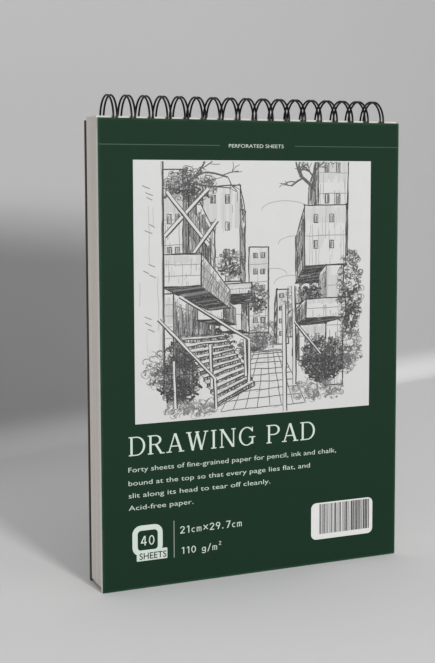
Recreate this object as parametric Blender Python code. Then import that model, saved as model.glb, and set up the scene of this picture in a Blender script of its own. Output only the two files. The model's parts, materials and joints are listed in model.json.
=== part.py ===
"""A top-bound sketchbook that stands on its lower edge: two board covers, forty drawing sheets
and one continuous twin-loop wire.

X runs along the binding, the front cover faces -Y, and Z is up.  The turning axis of every leaf
is the centre line of the wire's rings, parallel to X at y = 0.
"""

import math

import bmesh
import bpy
from mathutils import Matrix, Vector

MM = 0.001

# Driving dimensions, in millimetres.
COVER_WIDTH = 211.0
FRONT_COVER_HEIGHT = 298.0
SHEET_WIDTH = 210.0
SHEET_HEIGHT = 297.0
SHEET_FOOT = 2.2
SHEET_COUNT = 40
SHEET_THICKNESS = 0.465
SHEET_PITCH = 0.565
SHEETS_FRONT = -12.7
TURNING_SHEETS = 3
CORNER_RADIUS = 0.6

FINGER_COUNT = 17
FINGER_PITCH = 11.69
TWIN_SPACING = 2.3
WIRE_GAUGE = 1.1
RING_RADIUS = 14.35
ARC_STEP = 18.0

# The axis lies a little below the sheets' top edges; the back cover's top edge is lower still,
# so that a sheet turned right over stands above it.
AXIS_DROP = 0.8
BACK_COVER_DROP = 1.9

# The straight run of the wire passes just under the tops of the sheets' holes, so the sheets hang on it.
CHORD_DROP = 5.4
CHORD_END = 4.0
CHORD_CORNER = 1.6
TIP_DROP = 8.4
ROOT_BEND = 0.9

# Punched holes: width, and the drops of their upper and lower edges below the axis.
HOLE_WIDTH = 5.0
SHEET_HOLE = (4.4, 10.2)
LINING_HOLE = (2.9, 8.1)
BACK_COVER_HOLE = (2.9, 9.9)

PRINT_THICKNESS = 0.15
STRIP_THICKNESS = 0.9
LINING_THICKNESS = 0.4
BACK_BOARD_THICKNESS = 1.8
GLUE_GAP = 0.05
LEAF_GAP = 0.1
RING_CLEARANCE = 0.3
REBATE_MARGIN = 0.4
SEAM_GAP = 1.6

# Worked-out heights.
SHEET_TOP = SHEET_FOOT + SHEET_HEIGHT
AXIS_HEIGHT = SHEET_TOP - AXIS_DROP
BACK_COVER_HEIGHT = SHEET_TOP - BACK_COVER_DROP
RING_OUTER = RING_RADIUS + WIRE_GAUGE / 2

# Worked-out depths, from the front face back.
LINING_BACK = SHEETS_FRONT - LEAF_GAP
LINING_FRONT = LINING_BACK - LINING_THICKNESS
BOARD_BACK = LINING_FRONT - GLUE_GAP
REBATE_FLOOR = -(RING_OUTER + RING_CLEARANCE)
BOARD_FRONT = REBATE_FLOOR - STRIP_THICKNESS
PRINT_BACK = BOARD_FRONT - GLUE_GAP
PRINT_FRONT = PRINT_BACK - PRINT_THICKNESS
SHEETS_BACK = SHEETS_FRONT + (SHEET_COUNT - 1) * SHEET_PITCH + SHEET_THICKNESS
BACK_BOARD_FRONT = SHEETS_BACK + SEAM_GAP

# The board's rebate ends a little below the place where the rings' outside leaves the board.
REBATE_DROP = math.sqrt(RING_OUTER ** 2 - BOARD_BACK ** 2) + REBATE_MARGIN

# The seam: finger tips end here, and the roots run across a little lower on the ring's circle.
SEAM_DEPTH = SHEETS_BACK + SEAM_GAP / 2
ROOT_DROP = math.sqrt(RING_RADIUS ** 2 - SEAM_DEPTH ** 2)

GREEN_PRINT = (0.018, 0.040, 0.026)
PALE_BOARD = (0.60, 0.58, 0.55)
PAPER = (0.78, 0.76, 0.72)
LINING_PAPER = (0.70, 0.68, 0.64)
BROWN_BOARD = (0.10, 0.075, 0.06)
BLACK_WIRE = (0.012, 0.012, 0.013)


def clear_scene():
    """Removes every object that the file opened with."""
    for old in list(bpy.data.objects):
        bpy.data.objects.remove(old, do_unlink=True)


def new_collection(name):
    """A collection linked to the scene."""
    collection = bpy.data.collections.new(name)
    bpy.context.scene.collection.children.link(collection)
    return collection


def material(name, colour, roughness, metallic=0.0):
    """A Principled material in one colour."""
    made = bpy.data.materials.new(name)
    made.use_nodes = True
    shader = made.node_tree.nodes["Principled BSDF"]
    shader.inputs["Base Color"].default_value = (*colour, 1.0)
    shader.inputs["Roughness"].default_value = roughness
    shader.inputs["Metallic"].default_value = metallic
    made.diffuse_color = (*colour, 1.0)
    return made


def axis_empty(collection, name):
    """An empty on the turning axis, for one moving group."""
    empty = bpy.data.objects.new(name, None)
    empty.location = (0.0, 0.0, AXIS_HEIGHT * MM)
    empty.empty_display_size = 0.01
    collection.objects.link(empty)
    return empty


def link_on(obj, collection, finish, parent):
    """Links an object, gives it its material and hangs it on its axis empty."""
    collection.objects.link(obj)
    obj.data.materials.append(finish)
    if parent is not None:
        obj.parent = parent
        obj.location = obj.location - parent.location
    return obj


def finger_centres():
    """The X of each finger's middle, and so of each hole."""
    middle = (FINGER_COUNT - 1) / 2
    return [(i - middle) * FINGER_PITCH for i in range(FINGER_COUNT)]


def rectangle(width, low, high):
    """Points of a plain rectangle."""
    half = width / 2
    return [(-half, low), (half, low), (half, high), (-half, high)]


def rounded_rectangle(width, low, high, radius):
    """Points of a rectangle with its two lower corners cut by a small round."""
    half = width / 2
    points = [(half, high), (-half, high)]
    for side, start in ((-1, 180.0), (1, 270.0)):
        centre = Vector((side * (half - radius), low + radius))
        for step in range(3):
            angle = math.radians(start + 45.0 * step)
            points.append((centre.x + radius * math.cos(angle), centre.y + radius * math.sin(angle)))
    return points


def add_outline(curve, points):
    """Adds one closed straight-sided outline to a flat curve; points in millimetres."""
    spline = curve.splines.new("POLY")
    spline.points.add(len(points) - 1)
    for point, (x, z) in zip(spline.points, points):
        point.co = (x * MM, z * MM, 0.0, 1.0)
    spline.use_cyclic_u = True


def leaf_mesh(name, outline, holes, thickness):
    """A flat leaf as a closed mesh: its outline in X and Z, filled, with holes, and thickness along Y."""
    curve = bpy.data.curves.new(name, "CURVE")
    curve.dimensions = "2D"
    curve.fill_mode = "BOTH"
    curve.extrude = thickness / 2 * MM
    add_outline(curve, outline)
    for hole in holes:
        add_outline(curve, hole)
    flat = bpy.data.objects.new(name + "_outline", curve)
    bpy.context.scene.collection.objects.link(flat)
    evaluated = flat.evaluated_get(bpy.context.evaluated_depsgraph_get())
    mesh = bpy.data.meshes.new_from_object(evaluated)
    mesh.name = name
    bpy.data.objects.remove(flat, do_unlink=True)
    bpy.data.curves.remove(curve)
    work = bmesh.new()
    work.from_mesh(mesh)
    bmesh.ops.remove_doubles(work, verts=work.verts, dist=1e-6)
    # The curve lies in XY: it is stood up so that its Y becomes Z and its front faces -Y.
    bmesh.ops.rotate(work, verts=work.verts, matrix=Matrix.Rotation(math.radians(90.0), 3, "X"))
    bmesh.ops.dissolve_limit(work, angle_limit=0.001, verts=work.verts, edges=work.edges)
    bmesh.ops.recalc_face_normals(work, faces=work.faces)
    work.to_mesh(mesh)
    work.free()
    return mesh


def punched_holes(drops):
    """The outlines of the punched holes, from their upper to their lower drop below the axis."""
    half = HOLE_WIDTH / 2
    top = AXIS_HEIGHT - drops[0]
    foot = AXIS_HEIGHT - drops[1]
    outlines = []
    for x in finger_centres():
        outlines.append([(x - half, foot), (x + half, foot), (x + half, top), (x - half, top)])
    return outlines


def place_leaf(name, mesh, front, thickness, collection, finish, parent):
    """Puts a leaf mesh so that its front face lies at the given depth."""
    leaf = bpy.data.objects.new(name, mesh)
    leaf.location = (0.0, (front + thickness / 2) * MM, 0.0)
    return link_on(leaf, collection, finish, parent)


def box_cutter(name, low, high, cutters):
    """A plain box that cuts and is not a part; corners in millimetres."""
    work = bmesh.new()
    bmesh.ops.create_cube(work, size=1.0)
    size = [(high[i] - low[i]) * MM for i in range(3)]
    middle = [(high[i] + low[i]) / 2 * MM for i in range(3)]
    bmesh.ops.scale(work, verts=work.verts, vec=size)
    bmesh.ops.translate(work, verts=work.verts, vec=middle)
    mesh = bpy.data.meshes.new(name)
    work.to_mesh(mesh)
    work.free()
    cutter = bpy.data.objects.new(name, mesh)
    cutter.display_type = "WIRE"
    cutter.hide_render = True
    cutters.objects.link(cutter)
    return cutter


def build_front_cover(collection, cutters, parent):
    """The printed face, the board with its rebate over the rings, and the punched lining behind it."""
    outline = rounded_rectangle(COVER_WIDTH, 0.0, FRONT_COVER_HEIGHT, CORNER_RADIUS)
    face = leaf_mesh("front_cover_print", outline, [], PRINT_THICKNESS)
    green = material("green_print", GREEN_PRINT, 0.55)
    place_leaf("front_cover_print", face, PRINT_FRONT, PRINT_THICKNESS, collection, green, parent)

    board_thickness = BOARD_BACK - BOARD_FRONT
    board_mesh = leaf_mesh("front_cover_board", outline, [], board_thickness)
    pale = material("pale_board", PALE_BOARD, 0.85)
    board = place_leaf(
        "front_cover_board", board_mesh, BOARD_FRONT, board_thickness, collection, pale, parent
    )
    past = 5.0
    rebate = box_cutter(
        "rebate_cutter",
        (-COVER_WIDTH / 2 - past, REBATE_FLOOR, AXIS_HEIGHT - REBATE_DROP),
        (COVER_WIDTH / 2 + past, BOARD_BACK + past, FRONT_COVER_HEIGHT + past),
        cutters,
    )
    cut = board.modifiers.new("rebate", "BOOLEAN")
    cut.operation = "DIFFERENCE"
    cut.solver = "EXACT"
    cut.object = rebate

    lining_outline = rectangle(SHEET_WIDTH, SHEET_FOOT, FRONT_COVER_HEIGHT)
    lining_holes = punched_holes(LINING_HOLE)
    lining = leaf_mesh("front_cover_lining", lining_outline, lining_holes, LINING_THICKNESS)
    cream = material("lining_paper", LINING_PAPER, 0.8)
    place_leaf("front_cover_lining", lining, LINING_FRONT, LINING_THICKNESS, collection, cream, parent)


def build_sheets(collection, turning_parents):
    """The punched drawing sheets; the first few each hang on an axis empty of their own."""
    outline = rectangle(SHEET_WIDTH, SHEET_FOOT, SHEET_TOP)
    mesh = leaf_mesh("drawing_sheet", outline, punched_holes(SHEET_HOLE), SHEET_THICKNESS)
    paper = material("drawing_paper", PAPER, 0.85)
    mesh.materials.append(paper)
    for i in range(SHEET_COUNT):
        name = f"sheet_{i + 1:02d}"
        sheet = bpy.data.objects.new(name, mesh)
        front = SHEETS_FRONT + i * SHEET_PITCH
        sheet.location = (0.0, (front + SHEET_THICKNESS / 2) * MM, 0.0)
        collection.objects.link(sheet)
        if i < TURNING_SHEETS:
            sheet.parent = turning_parents[i]
            sheet.location = sheet.location - turning_parents[i].location


def build_back_cover(collection, parent):
    """The punched brown back board."""
    outline = rounded_rectangle(COVER_WIDTH, 0.0, BACK_COVER_HEIGHT, CORNER_RADIUS)
    mesh = leaf_mesh("back_cover_board", outline, punched_holes(BACK_COVER_HOLE), BACK_BOARD_THICKNESS)
    brown = material("brown_board", BROWN_BOARD, 0.8)
    place_leaf("back_cover_board", mesh, BACK_BOARD_FRONT, BACK_BOARD_THICKNESS, collection, brown, parent)


def leg_path():
    """One leg of a finger in Y and height above the axis, from its root to the start of its tip.

    It follows the ring's circle from the seam up over the back, the top and the front, then turns
    through a small round into a straight run through the holes, which slopes down to the seam.
    """
    root_angle = -math.degrees(math.atan2(ROOT_DROP, SEAM_DEPTH))
    corner_angle = 180.0 + math.degrees(math.asin(CHORD_DROP / RING_RADIUS))
    last_angle = corner_angle - math.degrees(CHORD_CORNER / RING_RADIUS)
    first_angle = root_angle + math.degrees(ROOT_BEND / RING_RADIUS)
    steps = round((last_angle - first_angle) / ARC_STEP)
    points = []
    for i in range(steps + 1):
        angle = math.radians(first_angle + (last_angle - first_angle) * i / steps)
        points.append((RING_RADIUS * math.cos(angle), RING_RADIUS * math.sin(angle)))
    corner = Vector((-math.sqrt(RING_RADIUS ** 2 - CHORD_DROP ** 2), -CHORD_DROP))
    start = Vector(points[-1])
    end = corner + Vector((CHORD_CORNER, 0.0))
    for t in (0.35, 0.7):
        bent = start * (1 - t) ** 2 + corner * (2 * t * (1 - t)) + end * t ** 2
        points.append((bent.x, bent.y))
    points.append((end.x, end.y))
    points.append((CHORD_END, -CHORD_DROP))
    points.append((SEAM_DEPTH - TWIN_SPACING / 2, -TIP_DROP))
    return points


def wire_path():
    """The whole wire as one open path: each finger out, round its tip and back, then across to the next."""
    leg = leg_path()
    tip_radius = TWIN_SPACING / 2
    path = []
    for i, middle in enumerate(finger_centres()):
        left = middle - tip_radius
        right = middle + tip_radius
        if i > 0:
            path.append((left - ROOT_BEND, SEAM_DEPTH, -ROOT_DROP))
        path += [(left, y, z) for y, z in leg]
        for degrees in (45.0, 90.0, 135.0):
            turn = math.radians(degrees)
            x = middle - tip_radius * math.cos(turn)
            y = SEAM_DEPTH - tip_radius + tip_radius * math.sin(turn)
            path.append((x, y, -TIP_DROP))
        path += [(right, y, z) for y, z in reversed(leg)]
        if i < FINGER_COUNT - 1:
            path.append((right + ROOT_BEND, SEAM_DEPTH, -ROOT_DROP))
    return path


def build_wire(collection):
    """The continuous twin-loop wire, a tube on its path."""
    path = wire_path()
    curve = bpy.data.curves.new("wire_binding", "CURVE")
    curve.dimensions = "3D"
    curve.bevel_depth = WIRE_GAUGE / 2 * MM
    curve.bevel_resolution = 1
    curve.use_fill_caps = True
    spline = curve.splines.new("POLY")
    spline.points.add(len(path) - 1)
    for point, (x, y, z) in zip(spline.points, path):
        point.co = (x * MM, y * MM, (z + AXIS_HEIGHT) * MM, 1.0)
    wire = bpy.data.objects.new("wire_binding", curve)
    link_on(wire, collection, material("black_wire", BLACK_WIRE, 0.3, 0.6), None)


def main():
    clear_scene()
    book = new_collection("sketchbook")
    cutters = new_collection("cutters")
    cover_axis = axis_empty(book, "front_cover_axis")
    sheet_axes = [axis_empty(book, f"sheet_axis_{i + 1:02d}") for i in range(TURNING_SHEETS)]
    back_axis = axis_empty(book, "back_cover_axis")
    build_front_cover(book, cutters, cover_axis)
    build_sheets(book, sheet_axes)
    build_back_cover(book, back_axis)
    build_wire(book)


main()
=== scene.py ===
"""The looks of a top-bound drawing pad: printed card cover, board, forty sheets and a twin-loop wire.

Every length is in metres.  X runs along the binding, the cover faces -Y and Z is up.  Places on the
cover are given in millimetres across from its left edge and down from its top edge.
"""

import json
import math

import bmesh
import bpy
import numpy as np
from bpy.props import FloatProperty, FloatVectorProperty, IntProperty, PointerProperty
from mathutils import Matrix, Vector
from mathutils.geometry import delaunay_2d_cdt


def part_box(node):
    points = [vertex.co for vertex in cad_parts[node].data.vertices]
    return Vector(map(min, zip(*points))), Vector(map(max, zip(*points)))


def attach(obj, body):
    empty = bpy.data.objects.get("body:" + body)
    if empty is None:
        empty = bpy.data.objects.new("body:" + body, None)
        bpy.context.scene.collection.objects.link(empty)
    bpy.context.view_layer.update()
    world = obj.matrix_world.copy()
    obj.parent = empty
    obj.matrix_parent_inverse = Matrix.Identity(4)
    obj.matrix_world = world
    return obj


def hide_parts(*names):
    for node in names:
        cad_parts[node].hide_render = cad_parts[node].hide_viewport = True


bl_info = {
    "name": "Drawing pad",
    "version": (1, 0, 0),
    "blender": (4, 5, 0),
    "location": "3D Viewport > Sidebar > Drawing pad",
    "description": "Finishes the pad's sheets and boards, prints its cover and winds its wire",
    "category": "Object",
}

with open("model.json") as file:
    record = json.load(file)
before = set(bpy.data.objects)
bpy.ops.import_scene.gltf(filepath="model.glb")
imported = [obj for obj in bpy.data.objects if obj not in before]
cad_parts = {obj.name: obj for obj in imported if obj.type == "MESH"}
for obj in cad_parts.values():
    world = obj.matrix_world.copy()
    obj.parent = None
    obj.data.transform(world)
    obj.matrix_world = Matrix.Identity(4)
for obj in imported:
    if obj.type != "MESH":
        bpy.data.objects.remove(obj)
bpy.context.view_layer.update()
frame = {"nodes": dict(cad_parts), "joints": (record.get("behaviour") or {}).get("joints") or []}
MM = 0.001
SUNK = 0.00002  # how deep a print's back lies in the ground under it
COVER_LOW, COVER_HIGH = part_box("front_cover_print")
TURNING_AXIS_HEIGHT = frame["joints"][0]["pos_m"][2]


def paint(red, green, blue):
    """A colour named by its 0 to 255 screen values, as linear light: the screen curve undone."""
    screen = np.array((red, green, blue)) / 255
    linear = np.where(screen > 0.04045, ((screen + 0.055) / 1.055) ** 2.4, screen / 12.92)
    return tuple(round(float(value), 4) for value in linear)


# ---------------------------------------------------------------- settings


def pick_colour(name, description, red, green, blue):
    """A colour setting, with its default named by screen values."""
    return FloatVectorProperty(
        name=name, description=description, subtype="COLOR", size=3, min=0, max=1,
        default=paint(red, green, blue),
    )


def pick_length(name, description, default, least, most):
    """A setting for a length in metres."""
    return FloatProperty(
        name=name, description=description, unit="LENGTH", min=least, max=most, default=default
    )


class CoverSettings(bpy.types.PropertyGroup):
    """The printed card on the front cover and what is printed on it."""

    card: pick_colour("Card", "Printed ground of the cover", 22, 44, 31)
    mint: pick_colour("Mint print", "Title, small lines and badge", 186, 197, 188)
    rule: pick_colour("Rules", "Fine rules beside the heading", 52, 76, 60)
    bar_ground: pick_colour("Bar panel", "Pale ground of the bars", 200, 200, 198)
    bar: pick_colour("Bars", "Print of the bars and the badge's word", 30, 27, 25)
    panel: pick_colour("Picture ground", "Pale ground that the picture is drawn on", 186, 186, 185)
    relief: pick_length("Relief", "How far a print stands out of the card", 0.00006, 0, 0.0005)
    wear: pick_length("Edge wear", "Width of the rubbed rim of the card", 0.0009, 0, 0.005)
    title_height: pick_length("Title height", "Height of the title's capitals", 0.0122, 0.002, 0.03)


class PictureSettings(bpy.types.PropertyGroup):
    """The pen drawing of a lane on the cover."""

    seed: IntProperty(name="Seed", description="Start of the pen's random draws", default=7)
    ink: pick_colour("Ink", "Colour of a full stroke of the pen", 34, 33, 34)
    weight: pick_length("Line weight", "Width of an outline of the drawing", 0.00068, 0.0001, 0.001)
    wobble: pick_length("Wobble", "How far a line strays from its ruler", 0.00022, 0, 0.001)


class PaperSettings(bpy.types.PropertyGroup):
    """The sheets, the boards and the lining."""

    sheet: pick_colour("Drawing paper", "Faces of the sheets", 234, 229, 223)
    board: pick_colour("Pale board", "Core of the front cover", 232, 235, 228)
    back: pick_colour("Brown board", "Back cover", 88, 76, 69)
    slit_drop: pick_length("Tear line drop", "From the sheets' tops down to the slits", 0.0155, 0.005, 0.05)
    slit_pitch: pick_length("Slit pitch", "From one slit to the next", 0.0016, 0.0005, 0.01)


class WireSettings(bpy.types.PropertyGroup):
    """The black twin-loop wire, on the route of the CAD part's wire."""

    black: pick_colour("Enamel", "Coating of the wire", 4, 4, 5)
    gauge: pick_length("Gauge", "Diameter of the wire", 0.0013, 0.0005, 0.003)
    ring_radius: pick_length("Ring radius", "From the turning axis to the wire's middle", 0.01435, 0.005, 0.03)
    pitch: pick_length("Ring pitch", "From one twin loop to the next", 0.01169, 0.005, 0.03)
    twin: pick_length("Twin spacing", "Between the two legs of a loop", 0.0023, 0.001, 0.006)
    loops: IntProperty(name="Loops", description="Number of twin loops", default=17, min=1, max=60)


class StageSettings(bpy.types.PropertyGroup):
    """Floor, wall, light and camera."""

    paper: pick_colour("Floor", "Floor of the backdrop", 224, 224, 224)
    # Darker than the floor: a painted shade on the backdrop's upright wall.
    wall: pick_colour("Wall", "Wall behind the pad", 176, 176, 176)
    key: FloatProperty(name="Key light", description="Strength of the key light", default=2.84, min=0)
    ambient: FloatProperty(name="Room light", description="Strength of the room", default=0.55, min=0)
    camera_place: FloatVectorProperty(
        name="Camera place", description="Where the camera stands", subtype="TRANSLATION",
        unit="LENGTH", size=3, default=(-0.3206, -0.7493, 0.2601),
    )
    yaw: FloatProperty(
        name="Yaw", description="Turn of the view from +Y towards +X", subtype="ANGLE",
        default=math.radians(23.69),
    )
    pitch: FloatProperty(
        name="Pitch", description="Dip of the view", subtype="ANGLE", default=math.radians(5.18)
    )
    lens: FloatProperty(name="Lens", description="Focal length in millimetres", default=66.99, min=1)
    shift: FloatVectorProperty(
        name="Shift", description="Lens shift, in parts of the long side", size=2,
        default=(-0.0603, -0.0603),
    )


class PadSettings(bpy.types.PropertyGroup):
    """All the settings of the pad."""

    cover: PointerProperty(type=CoverSettings)
    picture: PointerProperty(type=PictureSettings)
    paper: PointerProperty(type=PaperSettings)
    wire: PointerProperty(type=WireSettings)
    stage: PointerProperty(type=StageSettings)


def settings():
    """The pad's settings on the scene."""
    return bpy.context.scene.drawing_pad


# ---------------------------------------------------------------- finishes


class Tone:
    """One number of a finish, so that masks add, multiply and compare like plain numbers."""

    def __init__(self, finish, socket):
        self.finish = finish
        self.socket = socket

    def _math(self, operation, first, second=0.0):
        return self.finish.node("ShaderNodeMath", {"operation": operation}, {0: first, 1: second})

    def __add__(self, other):
        return self._math("ADD", self, other)

    __radd__ = __add__

    def __sub__(self, other):
        return self._math("SUBTRACT", self, other)

    def __rsub__(self, other):
        return self._math("SUBTRACT", other, self)

    def __mul__(self, other):
        return self._math("MULTIPLY", self, other)

    __rmul__ = __mul__

    def __truediv__(self, other):
        return self._math("DIVIDE", self, other)

    def __abs__(self):
        return self._math("ABSOLUTE", self)

    def fraction(self):
        """What is left of the number after its whole part."""
        return self._math("FRACT", self)

    def below(self, limit, soft):
        """1 well below the limit, 0 well above it, with a smooth step of width soft between them."""
        return self.finish.node(
            "ShaderNodeMapRange",
            {"interpolation_type": "SMOOTHSTEP"},
            {"Value": self, "From Min": limit - soft, "From Max": limit + soft, "To Min": 1.0,
             "To Max": 0.0},
        )


class Finish:
    """A material being mixed. Its patterns read the piece's own Object coordinates."""

    def __init__(self, name, roughness, specular=0.5):
        self.material = bpy.data.materials.new(name)
        self.material.use_nodes = True
        self.tree = self.material.node_tree
        self.shader = self.tree.nodes["Principled BSDF"]
        self.shader.inputs["Roughness"].default_value = roughness
        self.shader.inputs["Specular IOR Level"].default_value = specular

    def node(self, kind, settings, sockets, output=0):
        """Adds one node: its settings first, then the value or link of each named socket."""
        made = self.tree.nodes.new(kind)
        for label, value in settings.items():
            setattr(made, label, value)
        for label, value in sockets.items():
            if isinstance(value, Tone):
                self.tree.links.new(value.socket, made.inputs[label])
            elif value is not None:
                made.inputs[label].default_value = value
        return Tone(self, made.outputs[output])

    def place(self, stretch):
        """Object coordinates, stretched by a Mapping node."""
        at = self.node("ShaderNodeTexCoord", {}, {}, "Object")
        return self.node("ShaderNodeMapping", {}, {"Vector": at, "Scale": stretch})

    def axes(self):
        """X, Y and Z of the Object coordinates as three numbers."""
        at = self.node("ShaderNodeTexCoord", {}, {}, "Object")
        apart = self.node("ShaderNodeSeparateXYZ", {}, {"Vector": at}).socket.node
        return [Tone(self, socket) for socket in apart.outputs]

    def noise(self, scale, detail, roughness, stretch=(1.0, 1.0, 1.0), distortion=0.0):
        """Soft noise from 0 to 1 about a half, with scale cells to the metre."""
        return self.node(
            "ShaderNodeTexNoise", {},
            {"Vector": self.place(stretch), "Scale": scale, "Detail": detail, "Roughness": roughness,
             "Distortion": distortion},
            "Fac",
        )

    def cells(self, scale, stretch=(1.0, 1.0, 1.0)):
        """Distance to the nearest of scattered points, with scale points to the metre."""
        return self.node(
            "ShaderNodeTexVoronoi", {}, {"Vector": self.place(stretch), "Scale": scale}, "Distance"
        )

    def blend(self, share, first, second):
        """A colour between first and second: their mix by share."""
        ends = [end if isinstance(end, Tone) else (*end, 1.0) for end in (first, second)]
        return self.node("ShaderNodeMix", {"data_type": "RGBA"}, {0: share, 6: ends[0], 7: ends[1]}, 2)

    def attribute(self, name):
        """A number that the piece's mesh carries at each point."""
        return self.node("ShaderNodeAttribute", {"attribute_name": name}, {}, "Fac")

    def feed(self, label, value):
        """Links a tone or a colour to a socket of the shader."""
        self.tree.links.new(value.socket, self.shader.inputs[label])

    def bump(self, height, depth, strength=1.0):
        """Raises the surface by height times depth, in metres."""
        raised = self.node(
            "ShaderNodeBump", {},
            {"Height": height, "Distance": depth, "Strength": strength}, "Normal",
        )
        self.feed("Normal", raised)


def tinted(colour, gain, cast=(1.0, 1.0, 1.0)):
    """A colour made lighter or darker by gain, with a slight cast."""
    return tuple(min(1.0, value * gain * part) for value, part in zip(colour, cast))


def card_finish(name, colour, low, high, wear):
    """Matt laminated card: fine tooth, faint cloudy print, and a rubbed, paler rim."""
    finish = Finish(name, roughness=0.6, specular=0.05)
    across, _, up = finish.axes()
    edges = [side.below(wear, wear) for side in (across - low.x, high.x - across, up - low.z, high.z - up)]
    rim = (edges[0] + edges[1] + edges[2] + edges[3]) * finish.noise(95, 4, 0.7).below(0.62, 0.16) * 0.35
    cloud = finish.noise(14, 3, 0.5)
    tooth = finish.noise(2600, 2, 0.5)
    fibre = finish.noise(900, 2, 0.6, (0.35, 1.0, 1.0))
    shade = finish.blend(cloud, tinted(colour, 0.95), tinted(colour, 1.05, (1.0, 0.99, 1.02)))
    shade = finish.blend(fibre * 0.06, shade, tinted(colour, 1.5))
    finish.feed("Base Color", finish.blend(rim, shade, tinted(colour, 4.2, (1.15, 1.0, 1.1))))
    finish.feed("Roughness", 0.55 + cloud * 0.1 + rim * 0.3)
    finish.bump(tooth * 0.6 + fibre * 0.4, 0.00002, 0.35)
    return finish.material


def ink_finish(name, colour, roughness=0.5):
    """Flat printing ink: a fine dotted break in its cover and a slight unevenness of tone."""
    finish = Finish(name, roughness=roughness, specular=0.15)
    grain = finish.noise(3200, 2, 0.5)
    shade = finish.blend(finish.noise(60, 3, 0.6), tinted(colour, 0.95), tinted(colour, 1.03))
    finish.feed("Base Color", finish.blend(grain.below(0.36, 0.08) * 0.25, shade, tinted(colour, 0.7)))
    finish.feed("Roughness", roughness - 0.05 + grain * 0.1)
    finish.bump(grain, 0.00001, 0.3)
    return finish.material


def pen_finish(name, ink, ground):
    """Pen ink whose density is the mesh's own tone: thin strokes let the ground through."""
    finish = Finish(name, roughness=0.62, specular=0.1)
    skip = finish.noise(1500, 3, 0.7)
    density = finish.attribute("tone") * (0.86 + skip.below(0.5, 0.2) * 0.14)
    finish.feed("Base Color", finish.blend(density, ground, ink))
    finish.feed("Roughness", 0.55 + skip * 0.15)
    return finish.material


def paper_finish(name, colour, sheet_pitch, half_width, slit_height=None, slit_pitch=None):
    """Drawing paper: tooth on its faces, a tone of its own for each sheet, and a row of slits.

    The faces and the top edges get a painted shade, a darker colour, and the cut edges at the sides don't.
    """
    finish = Finish(name, roughness=0.86)
    across, _, up = finish.axes()
    each = finish.noise(1.0, 2, 0.7, (0.6, 1.0 / sheet_pitch, 0.35))
    broad = finish.noise(1.0, 2, 0.6, (1.0, 190.0, 2.0))
    tooth = finish.cells(1500)
    fibre = finish.noise(700, 4, 0.65, (1.0, 1.0, 0.5))
    shade = finish.blend(each, tinted(colour, 0.86, (1.0, 0.985, 0.975)), tinted(colour, 1.04))
    warm = tinted(colour, 0.84, (1.04, 0.98, 0.97))
    shade = finish.blend(broad.below(0.5, 0.12) * 0.7, shade, warm)
    shade = finish.blend(fibre.below(0.4, 0.1) * 0.08, shade, tinted(colour, 0.8))
    inside = abs(across).below(half_width - 0.0002, 0.0001)
    relief = tooth * 0.5 + fibre * 0.5
    if slit_height is not None:
        row = abs(up - slit_height).below(0.00018, 0.00006)
        gap = abs((across / slit_pitch).fraction() - 0.5).below(0.32, 0.03)
        slit = row * gap * abs(across).below(half_width - 0.0015, 0.0005)
        # The slits are painted dark: painted shade in the cuts.
        shade = finish.blend(slit * 0.6, shade, tinted(colour, 0.35))
        relief = relief - slit * 4
    # Painted shade: inside the side edges, on the faces and top edges, the colour is darkened by 30 percent.
    finish.feed("Base Color", finish.blend(inside * 0.3, shade, (0.0, 0.0, 0.0)))
    finish.feed("Roughness", 0.8 + fibre * 0.12)
    finish.bump(relief, 0.00003, 0.5)
    return finish.material


def board_finish(name, colour, flake):
    """Pressed board: long pulp fibres, layered cut edges and scattered darker flecks."""
    finish = Finish(name, roughness=0.85)
    fibre = finish.noise(420, 5, 0.7, (0.5, 1.0, 1.6), 0.6)
    layer = finish.noise(1.0, 2, 0.6, (2.0, 2400.0, 2.0))
    fleck = finish.cells(230, (1.0, 1.0, 2.4)).below(0.1, 0.04)
    shade = finish.blend(fibre, tinted(colour, 0.74), tinted(colour, 1.24))
    shade = finish.blend(layer * 0.35, shade, tinted(colour, 0.78))
    finish.feed("Base Color", finish.blend(fleck * flake, shade, tinted(colour, 0.5)))
    finish.feed("Roughness", 0.78 + fibre * 0.14)
    finish.bump(fibre * 0.7 + layer * 0.3, 0.00004, 0.5)
    return finish.material


def enamel_finish(name, colour):
    """Black baked enamel on wire: a smooth coat with faint ripples and duller rubbed spots."""
    finish = Finish(name, roughness=0.4, specular=0.2)
    ripple = finish.noise(700, 3, 0.6)
    rub = finish.noise(130, 4, 0.7).below(0.36, 0.06)
    shade = finish.blend(ripple, tinted(colour, 0.8), tinted(colour, 1.3))
    finish.feed("Base Color", finish.blend(rub * 0.3, shade, tinted(colour, 3.0)))
    finish.feed("Roughness", 0.28 + ripple * 0.14 + rub * 0.2)
    finish.bump(ripple, 0.00001, 0.4)
    return finish.material


def dress(node, material):
    """Gives a CAD node its finish."""
    slots = frame["nodes"][node].material_slots
    if not slots:
        frame["nodes"][node].data.materials.append(material)
    for place in slots:
        place.material = material


# ---------------------------------------------------------------- shapes


def cover_point(across, down):
    """X and Z in metres of a place on the cover, from millimetres across and down."""
    return (COVER_LOW.x + np.asarray(across) * MM, COVER_HIGH.z - np.asarray(down) * MM)


def add_piece(name, points, faces, body, material, smooth=False):
    """Makes a mesh object at the origin, on a body and a finish."""
    mesh = bpy.data.meshes.new(name)
    mesh.from_pydata([tuple(p) for p in np.asarray(points)], [], faces)
    mesh.validate()
    mesh.update()
    if smooth:
        mesh.polygons.foreach_set("use_smooth", [True] * len(mesh.polygons))
    mesh.materials.append(material)
    piece = bpy.data.objects.new(name, mesh)
    bpy.context.scene.collection.objects.link(piece)
    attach(piece, body)
    return piece


def rectangle(left, top, right, foot):
    """Corners of an upright rectangle, in cover millimetres."""
    return np.array([(left, top), (right, top), (right, foot), (left, foot)], float)


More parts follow.
